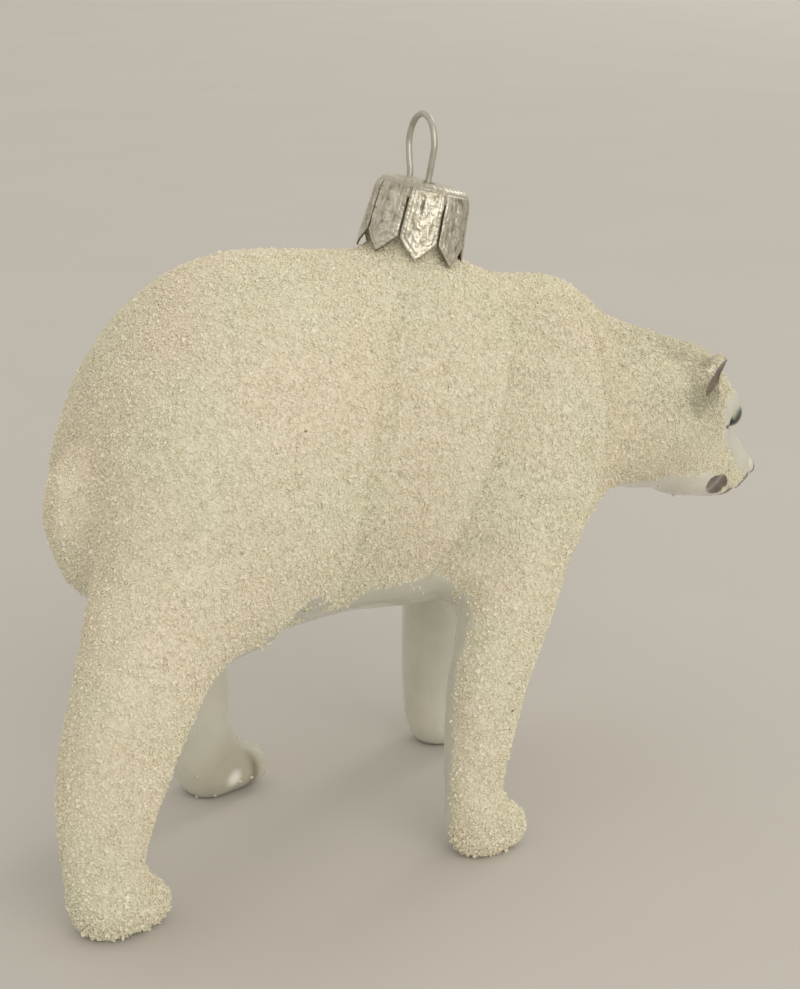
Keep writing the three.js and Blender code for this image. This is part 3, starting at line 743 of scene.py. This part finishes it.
# Each grain is a small crushed splinter with six faces, stretched and turned at random.
CORNERS = np.array([(1, 0, 0), (-0.5, 0.87, 0), (-0.5, -0.87, 0), (0, 0, 1), (0, 0, -1)])
SIDES = np.array([(0, 1, 3), (1, 2, 3), (2, 0, 3), (1, 0, 4), (2, 1, 4), (0, 2, 4)])
turns = dice.normal(size=(count, 4))
w, x, y, z = (turns / np.linalg.norm(turns, axis=1, keepdims=True)).T
spin = np.stack([
    1 - 2 * (y * y + z * z), 2 * (x * y - w * z), 2 * (x * z + w * y),
    2 * (x * y + w * z), 1 - 2 * (x * x + z * z), 2 * (y * z - w * x),
    2 * (x * z - w * y), 2 * (y * z + w * x), 1 - 2 * (x * x + y * y),
], axis=1).reshape(count, 3, 3)
stretch = dice.uniform(0.8, 1.35, (count, 1, 3)) * half[:, None, None]
knocks = dice.uniform(0.8, 1.3, (count, 5, 1))
grain_points = centres[:, None, :] + np.einsum("nij,nkj->nki", spin, CORNERS * stretch * knocks)
grain_points[:, :, 2] = grain_points[:, :, 2].clip(0.02 * MM, None)

# The grains are painted darker behind the ears and in the folds of the flank, which is painted shade, and
# also over the olive smears below the ears and a little on the face. A few grains are glassy, and here and
# there one is rust brown.
side_root = one_sided(roots)
from_nape = np.linalg.norm((side_root - NAPE_MIDDLE) * (1, 0, 1) / NAPE_HALF, axis=1)
smudged = np.exp(-((distance_to_line(side_root, SMUDGE) / 1.5) ** 2))
shade_and_smear = np.exp(-(from_nape**2)) * (0.55 + 0.45 * ragged(roots, 3.5, 7)) + 0.8 * smudged + 0.16 * root_face
# Painted shade: the grains in each fold of the flank are darker.
hollow = np.zeros(count)
for form in FLANK_LINES:
    ahead, fade = ahead_of_line(roots, form["x"], form["z"])
    hollow += (2 * ahead / STEP_WIDTH + 0.6).clip(0, 1) * np.exp(-ahead.clip(0) / form["reach"]) * fade
tints = (dice.normal(0.6, 0.12, count) - 0.62 * shade_and_smear.clip(0, 1) - 0.16 * hollow).clip(0.05, 0.95)
odd = dice.random(count)
tints = np.where(odd < 0.0001, 0.0, np.where(odd > 0.996, 1.0, tints))

# The unwrap that each grain's patch lies on: the body goes round its long axis, and each leg round its own.
BODY_AXIS = 50 * MM
solids = [swollen_part(node, 0) for node in GLASS_PARTS]
owner_of_face = np.repeat(np.arange(len(solids)), [len(faces) for _, faces in solids])
solid_tree = BVHTree.FromPolygons(*joined(solids))
owners = owner_of_face[[solid_tree.find_nearest(Vector(root))[2] for root in roots]]
LEGS = [node for node in GLASS_PARTS if node.startswith("leg")]
low, high = (np.array(corner) for corner in cad_box)
share = (roots - low) / (high - low)
round_body = np.arctan2(roots[:, 1], roots[:, 2] - BODY_AXIS) / math.tau + 0.5
patch_u = 0.02 + 0.96 * share[:, 0]
patch_v = 0.42 + 0.56 * round_body
for i, leg in enumerate(LEGS):
    leg_low, leg_high = (np.array(corner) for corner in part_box(leg))
    own = owners == GLASS_PARTS.index(leg)
    from_middle = roots[own] - (leg_low + leg_high) / 2
    round_leg = np.arctan2(from_middle[:, 1], from_middle[:, 0]) / math.tau + 0.5
    patch_u[own] = 0.25 * i + 0.01 + 0.23 * round_leg
    patch_v[own] = 0.01 + 0.38 * share[own, 2] / 0.6
UNFOLDED = np.array([(0.5, 0), (-0.25, 0.43), (-0.25, -0.43), (0, 0)])


def grain_patch():
    """A grain's faces laid flat: the upper three in a triangle, and the lower three folded out round it."""
    places = []
    for side in SIDES:
        middle_out = -2 * UNFOLDED[3 - side[0] - side[1]]
        places += [middle_out if corner == 4 else UNFOLDED[corner] for corner in side]
    return np.array(places) * PATCH_HALF


GRAIN_PATCH = grain_patch()


def grit_piece(name, chosen):
    """One mesh of the chosen grains."""
    many = len(chosen)
    mesh = bpy.data.meshes.new(name)
    mesh.vertices.add(many * len(CORNERS))
    mesh.loops.add(many * SIDES.size)
    mesh.polygons.add(many * len(SIDES))
    mesh.vertices.foreach_set("co", grain_points[chosen].ravel())
    corners = SIDES.ravel()[None] + len(CORNERS) * np.arange(many)[:, None]
    mesh.loops.foreach_set("vertex_index", corners.ravel().astype(np.int32))
    mesh.polygons.foreach_set("loop_start", np.arange(0, many * SIDES.size, 3, dtype=np.int32))
    mesh.update(calc_edges=True)
    mesh.shade_flat()
    unwrap = mesh.uv_layers.new(name="OFBake")
    spots = np.stack([patch_u[chosen], patch_v[chosen]], axis=1)[:, None, :] + GRAIN_PATCH[None]
    unwrap.data.foreach_set("uv", spots.ravel())
    mark(mesh, "tint", np.repeat(tints[chosen], len(CORNERS)))
    mesh.materials.append(grit)
    made = set_out(name, mesh)
    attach(made, "root")


GRIT_STOPS = [
    (0.0, (0.32, 0.14, 0.10)), (0.03, (0.50, 0.50, 0.40)), (0.45, (0.82, 0.79, 0.66)),
    (0.75, (0.88, 0.85, 0.74)), (1.0, (0.97, 0.96, 0.90)),
]
DRIFT_STOPS = [(0.3, (1.0, 0.955, 0.905)), (0.7, (0.97, 0.985, 0.93))]
grit, nodes, links, shader = new_material("snow_grit")
colour = ramp_node(nodes, links, attribute_node(nodes, "tint"), GRIT_STOPS)
drift = ramp_node(nodes, links, noise_node(nodes, links, 13.0, 1.5), DRIFT_STOPS)
links.new(mixed_colour(nodes, links, 1.0, colour, drift, "MULTIPLY"), shader.inputs["Base Color"])
glassy = math_node(nodes, links, "GREATER_THAN", attribute_node(nodes, "tint"), 0.97)
links.new(math_node(nodes, links, "MULTIPLY_ADD", glassy, -0.42, 0.5), shader.inputs["Roughness"])
for index, node in enumerate(GLASS_PARTS):
    chosen = np.flatnonzero(owners == index)
    if not len(chosen):
        continue
    chosen = chosen[np.argsort(roots[chosen, 0], kind="stable")]
    lots = math.ceil(len(chosen) / GRAINS_IN_PIECE)
    for number, lot in enumerate(np.array_split(chosen, lots)):
        grit_piece(f"grit_{node}_{number + 1}" if lots > 1 else f"grit_{node}", lot)

# ==================================================================== cap
# A crown stamped from thin bright aluminium. It grips the glass neck with eight pointed leaves, which are
# embossed with beaded borders and small rings, and its domed top has two holes for the wire.

CAP_RADIUS, CAP_FLARE = 5.8, 0.55
DOME_RADIUS, SHOULDER = 4.7, 2.0
LEAVES = 8
LEAF_TOP = CAP_HEIGHT - 0.35
NOTCH_TOP = 2.3
SLIT_HALF = 0.1
DENTED_LEAF = 5
SHEET = 0.2 * MM
BORDER_RADIUS, DOTS_RADIUS, DOTS = 4.15, 4.75, 40
BOSSES = (6.9, 5.6, 4.3, 3.0, 1.9)  # their heights on each leaf
HOLE_SPREAD, LOOP_BACK, HOLE_RADIUS = 2.3, 1.0, 0.62
CAP_SIDE = np.array([math.cos(CAP_LEAN), 0, -math.sin(CAP_LEAN)])
CAP_ACROSS = np.array([0, 1, 0])


def on_cap(x, y, height):
    """A place in the frame, from millimetres along the cap's own axes."""
    x, y, height = (np.asarray(value, float)[..., None] for value in (x, y, height))
    return CAP_FOOT + (x * CAP_SIDE + y * CAP_ACROSS + height * CAP_AXIS) * MM


def ring_quads(rings, around):
    """The faces between rings of points, each ring with as many points."""
    return [
        [ring * around + i, (ring + 1) * around + i, (ring + 1) * around + j, ring * around + j]
        for ring in range(rings - 1) for i, j in zip(range(around), [*range(1, around), 0])
    ]


def ridge(distance, width):
    return np.exp(-((distance / width) ** 2))


def dome_height(radius):
    return CAP_HEIGHT + CAP_DOME * (1 - (radius / CAP_RADIUS) ** 2)


def cap_radius(height):
    """The cap's own radius: it flares towards the foot, and rounds over into the domed top."""
    shoulder_foot = CAP_HEIGHT - SHOULDER
    over = ((height - shoulder_foot) / (dome_height(DOME_RADIUS) - shoulder_foot)).clip(0, 1)
    flare = CAP_FLARE * (1 - height / shoulder_foot).clip(0)
    return DOME_RADIUS + (CAP_RADIUS - DOME_RADIUS) * np.sqrt(1 - over**2) + flare


def crown_top():
    """The domed top and its rounded shoulder, with a border of small dots and the two holes."""
    rings = [(r, dome_height(r)) for r in np.linspace(0.12, DOME_RADIUS, 26)]
    rings += [(float(cap_radius(h)) - 0.06, h) for h in np.linspace(dome_height(DOME_RADIUS) - 0.06, 7.0, 12)]
    around = 192
    angles = np.arange(around) / around * math.tau
    radius, height = (np.repeat(np.array(values)[:, None], around, axis=1) for values in zip(*rings))
    spin = np.repeat(angles[None], len(rings), axis=0)
    x, y = radius * np.cos(spin), radius * np.sin(spin)
    dots = ridge(radius - DOTS_RADIUS, 0.2) * (0.5 + 0.5 * np.cos(spin * DOTS))
    border = ridge(radius - BORDER_RADIUS, 0.1)
    places = np.stack([x, y, np.zeros_like(x)], axis=2).reshape(-1, 3) * MM
    dents = ragged(places, 1.5, 8).reshape(radius.shape) * (radius < DOTS_RADIUS + 0.15)
    height = height + 0.13 * dots + 0.07 * border + 0.12 * dents
    hole_edge = np.zeros_like(x)
    for side in (RIGHT, LEFT):
        from_hole = np.hypot(x + LOOP_BACK, y - side * HOLE_SPREAD)
        hole_edge = np.maximum(hole_edge, ridge(from_hole - HOLE_RADIUS, 0.25))
        near = (from_hole < HOLE_RADIUS + 0.12) & (from_hole > HOLE_RADIUS * 0.55)
        push = HOLE_RADIUS / from_hole.clip(0.05)
        x = np.where(near, -LOOP_BACK + (x + LOOP_BACK) * push, x)
        y = np.where(near, side * HOLE_SPREAD + (y - side * HOLE_SPREAD) * push, y)
    height = height - 0.15 * hole_edge
    corners = on_cap(x, y, height).reshape(-1, 3)
    quads = np.array(ring_quads(len(rings), around))
    from_middle = np.stack([x.ravel()[quads].mean(axis=1) + LOOP_BACK, y.ravel()[quads].mean(axis=1)])
    from_holes = [np.hypot(from_middle[0], from_middle[1] - side * HOLE_SPREAD) for side in (RIGHT, LEFT)]
    sheet = np.minimum(*from_holes) > HOLE_RADIUS * 0.98
    faces = [list(range(around)), *quads[sheet].tolist()]
    depth = np.maximum(dots, border) - hole_edge
    return corners, faces, 0.35 + 0.6 * depth.ravel()


def leaf(index):
    """One leaf of the skirt, with its embossing pressed out of the sheet."""
    across, along = 40, 60
    half_turn = math.pi / LEAVES
    slit_turn = SLIT_HALF / CAP_RADIUS
    u = np.linspace(-1, 1, across + 1)[None, :]
    v = np.linspace(0, 1, along + 1)[:, None]
    turn = u * (half_turn - slit_turn)
    foot = NOTCH_TOP * np.abs(u) ** 1.12 + 0.06
    height = LEAF_TOP + (foot - LEAF_TOP) * v
    mean_radius = CAP_RADIUS + 0.4
    aside = turn * mean_radius * np.ones_like(height)
    from_slit = (half_turn - slit_turn) * mean_radius - np.abs(aside)
    from_foot = (height - foot) * 0.72
    from_edge = np.where(height < NOTCH_TOP + 0.6, np.minimum(from_slit, from_foot), from_slit)
    beads = 0.62 + 0.38 * np.cos(height * math.tau / 0.52)
    relief = 0.1 * ridge(from_edge - 0.3, 0.13) * beads + 0.06 * ridge(from_edge - 0.72, 0.11)
    for boss in BOSSES:
        boss_aside = 0.22 * math.sin(5 * boss + 3 * index)
        spot = np.hypot(aside - boss_aside, height - boss - 0.1 * math.cos(7 * index))
        relief += 0.09 * ridge(spot - 0.42, 0.13) + 0.08 * ridge(spot, 0.17)
    wave = 0.95 * np.sin((height - 1.8) * math.tau / 2.6)
    relief += 0.05 * ridge(np.abs(aside) - 0.95 - 0.14 * wave, 0.12) * (from_edge > 0.75)
    places = np.stack([aside + index * 5, height, np.full_like(height, index)], axis=2).reshape(-1, 3) * MM
    crinkle = (ragged(places, 1.1, 5) + 0.6 * ragged(places, 0.4, 6)).reshape(height.shape)
    crease = ridge(aside + 0.45, 0.16) * ridge(height - 6.4, 1.0) * (index == DENTED_LEAF)
    relief -= 0.25 * crease
    settled = ((LEAF_TOP - height) / 0.8).clip(0, 1)
    radius = cap_radius(height) + (relief * (0.85 + 0.6 * crinkle) + 0.08 * crinkle) * settled
    angle = (index + 0.5) * 2 * half_turn + turn
    corners = on_cap(radius * np.cos(angle), radius * np.sin(angle), height).reshape(-1, 3)
    wide = across + 1
    faces = [
        [row * wide + i, (row + 1) * wide + i, (row + 1) * wide + i + 1, row * wide + i + 1]
        for row in range(along) for i in range(across)
    ]
    slit_edge = 0.5 * ridge(from_edge, 0.08)
    return corners, faces, (0.35 + 0.6 * relief / 0.1 + 0.4 * crinkle - slit_edge).ravel()


sheets = [crown_top(), *(leaf(index) for index in range(LEAVES))]
cap_points, cap_faces = joined([(corners, faces) for corners, faces, depth in sheets])
STAMPED_STOPS = [(0.0, (0.27, 0.25, 0.19)), (0.25, (0.53, 0.51, 0.43)), (0.8, (0.80, 0.78, 0.70))]
STAIN_STOPS = [(0.3, (0.86, 0.84, 0.79)), (0.6, (1.0, 1.0, 1.0))]
aluminium, nodes, links, shader = new_material("stamped_aluminium")
# The sheet's colour is darker in its hollows, round the holes and along the slits, and lighter on its raised
# embossing.
relief_tone = ramp_node(nodes, links, attribute_node(nodes, "stamped"), STAMPED_STOPS)
stain = ramp_node(nodes, links, noise_node(nodes, links, 2.2), STAIN_STOPS)
links.new(mixed_colour(nodes, links, 1.0, relief_tone, stain, "MULTIPLY"), shader.inputs["Base Color"])
shader.inputs["Metallic"].default_value = 1.0
grain = math_node(nodes, links, "MULTIPLY_ADD", noise_node(nodes, links, 0.7), 0.3, 0.26)
links.new(grain, shader.inputs["Roughness"])
bump_node(nodes, links, shader, noise_node(nodes, links, 0.5, 2.0), 1.0, 0.12)
cap = piece("stamped_cap", cap_points, cap_faces, aluminium)
mark(cap.data, "stamped", np.concatenate([depth for corners, faces, depth in sheets]))
thick = cap.modifiers.new("sheet", "SOLIDIFY")
thick.thickness = SHEET
thick.offset = -1
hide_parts("cap")

# ==================================================================== hanger
# One piece of dull spring wire, bent into a tall loop. Its two legs go down through the holes of the cap and
# spring apart inside the glass neck, which holds the cap on.

WIRE_RADIUS = 0.38
LOOP_LEAN = 0.08
LOOP_HALF_WIDTH, LOOP_HEIGHT = 3.1, 7.8
LEG_BENDS = [(3.35, -6.0), (2.95, -4.0), (2.65, 3.6), (2.3, 7.4), (2.3, 9.6)]  # aside, and up the cap


def wire_corners():
    """The corners of one leg of the wire, from its end in the glass neck up to the side of the loop."""
    corners = [on_cap(-LOOP_BACK, y, height) for y, height in LEG_BENDS]
    rise_to = CAP_DOME + LOOP_HEIGHT - 0.3
    loop_foot = np.array([corners[-1][0], CAP_FOOT[1], corners[-1][2]])
    for degrees in (-28, 5, 35, 62):
        angle = math.radians(degrees)
        rise = rise_to / 2 + 0.4 + (rise_to / 2 - 0.4) * math.sin(angle) - 1
        side = LOOP_HALF_WIDTH * math.cos(angle)
        corners.append(loop_foot + np.array([LOOP_LEAN * rise, side, rise]) * MM)
    top = loop_foot + np.array([LOOP_LEAN, 0, 1]) * (rise_to - 1) * MM
    return corners, top


def smooth_path(corners, steps):
    """A smooth curve through all the corners."""
    corners = np.array([2 * corners[0] - corners[1], *corners, 2 * corners[-1] - corners[-2]])
    path = []
    for before, start, end, after in zip(corners, corners[1:], corners[2:], corners[3:]):
        bend = 2 * before - 5 * start + 4 * end - after
        twist = 3 * start - before - 3 * end + after
        for t in np.arange(steps) / steps:
            path.append(0.5 * (2 * start + (end - before) * t + bend * t**2 + twist * t**3))
    return np.array([*path, corners[-2]])


leg_corners, loop_top = wire_corners()
mirrored = [np.array([p[0], 2 * CAP_FOOT[1] - p[1], p[2]]) for p in leg_corners]
path = smooth_path([*leg_corners, loop_top, *mirrored[::-1]], 8)
ahead = np.gradient(path, axis=0)
ahead /= np.linalg.norm(ahead, axis=1, keepdims=True)
aside = np.cross(ahead, (1, 0, 0))
aside /= np.linalg.norm(aside, axis=1, keepdims=True)
upright = np.cross(aside, ahead)
AROUND = 14
turns = np.arange(AROUND) / AROUND * math.tau
ring = np.cos(turns)[None, :, None] * aside[:, None] + np.sin(turns)[None, :, None] * upright[:, None]
wire_points = (path[:, None] + ring * WIRE_RADIUS * MM).reshape(-1, 3)
wire_faces = [[a, d, c, b] for a, b, c, d in ring_quads(len(path), AROUND)]
wire_faces += [list(range(AROUND))[::-1], [(len(path) - 1) * AROUND + i for i in range(AROUND)]]
WIRE_STOPS = [(0.3, (0.50, 0.50, 0.45)), (0.7, (0.62, 0.62, 0.56))]
spring_wire, nodes, links, shader = new_material("dull_spring_wire")
links.new(ramp_node(nodes, links, noise_node(nodes, links, 1.2), WIRE_STOPS), shader.inputs["Base Color"])
shader.inputs["Metallic"].default_value = 1.0
drawn = math_node(nodes, links, "MULTIPLY_ADD", noise_node(nodes, links, 0.6), 0.25, 0.34)
links.new(drawn, shader.inputs["Roughness"])
wire = piece("wire_hanger", wire_points, wire_faces, spring_wire)
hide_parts("hanger")

# ==================================================================== floor, light and camera
# A plain pale table top that curves up far away. Two soft windows light the bear's right side, one high and
# one low, a lamp lights the far part of the table, and the room is softly bright.

FLOOR_FLAT = 2.6
RIM_ROUND = 2.0
RIM_TURN = math.radians(40)
profile = [(r, 0.0) for r in np.linspace(0.02, FLOOR_FLAT, 24)]
profile += [
    (FLOOR_FLAT + RIM_ROUND * math.sin(turn), RIM_ROUND * (1 - math.cos(turn)))
    for turn in np.linspace(0, RIM_TURN, 12)[1:]
]
SPOKES = 64
floor_points = [
    (r * math.cos(i / SPOKES * math.tau), r * math.sin(i / SPOKES * math.tau), z)
    for r, z in profile for i in range(SPOKES)
]
floor_faces = [list(range(SPOKES)), *ring_quads(len(profile), SPOKES)]
FLOOR_STOPS = [(0.3, (0.615, 0.60, 0.575)), (0.7, (0.63, 0.615, 0.59))]
paper, nodes, links, shader = new_material("pale_paper")
links.new(ramp_node(nodes, links, noise_node(nodes, links, 60.0), FLOOR_STOPS), shader.inputs["Base Color"])
shader.inputs["Roughness"].default_value = 0.9
shader.inputs["Specular IOR Level"].default_value = 0.1
floor = set_out("floor", smooth_mesh("floor", floor_points, floor_faces, paper))

world = bpy.data.worlds.new("room")
bpy.context.scene.world = world
world.use_nodes = True
room = world.node_tree.nodes["Background"]
room.inputs["Color"].default_value = (1.0, 0.94, 0.85, 1)
room.inputs["Strength"].default_value = 0.70
bpy.context.scene.view_settings.view_transform = "Standard"

low, high = cad_box
heart = (low + high) / 2


def soft_light(name, aim, place, size, power, colour):
    light = bpy.data.lights.new(name, "AREA")
    light.shape = "DISK"
    light.size = size
    light.energy = power
    light.color = colour
    lamp = set_out(name, light)
    lamp.location = place
    lamp.rotation_euler = (Vector(aim) - Vector(place)).to_track_quat("-Z", "Y").to_euler()


soft_light("window", heart, (0.0, -1.0, 0.6), 1.12, 3.6, (1.0, 0.95, 0.86))
soft_light("low_window", heart, (-0.1, -0.95, 0.07), 0.7, 1.2, (1.0, 0.95, 0.86))
soft_light("far_lamp", (0.95, 1.1, 0), (1.9, 1.0, 1.2), 0.8, 8.0, (1.0, 0.95, 0.88))

lens = bpy.data.cameras.new("camera")
lens.sensor_fit = "HORIZONTAL"
lens.sensor_width = 36
lens.lens = 94.5
lens.clip_start = 0.01
camera = set_out("camera", lens)
camera.location = (-0.11999, -0.21752, 0.1169)
camera.rotation_euler = (math.radians(90 - 17.06), 0, math.radians(-28))
bpy.context.scene.camera = camera
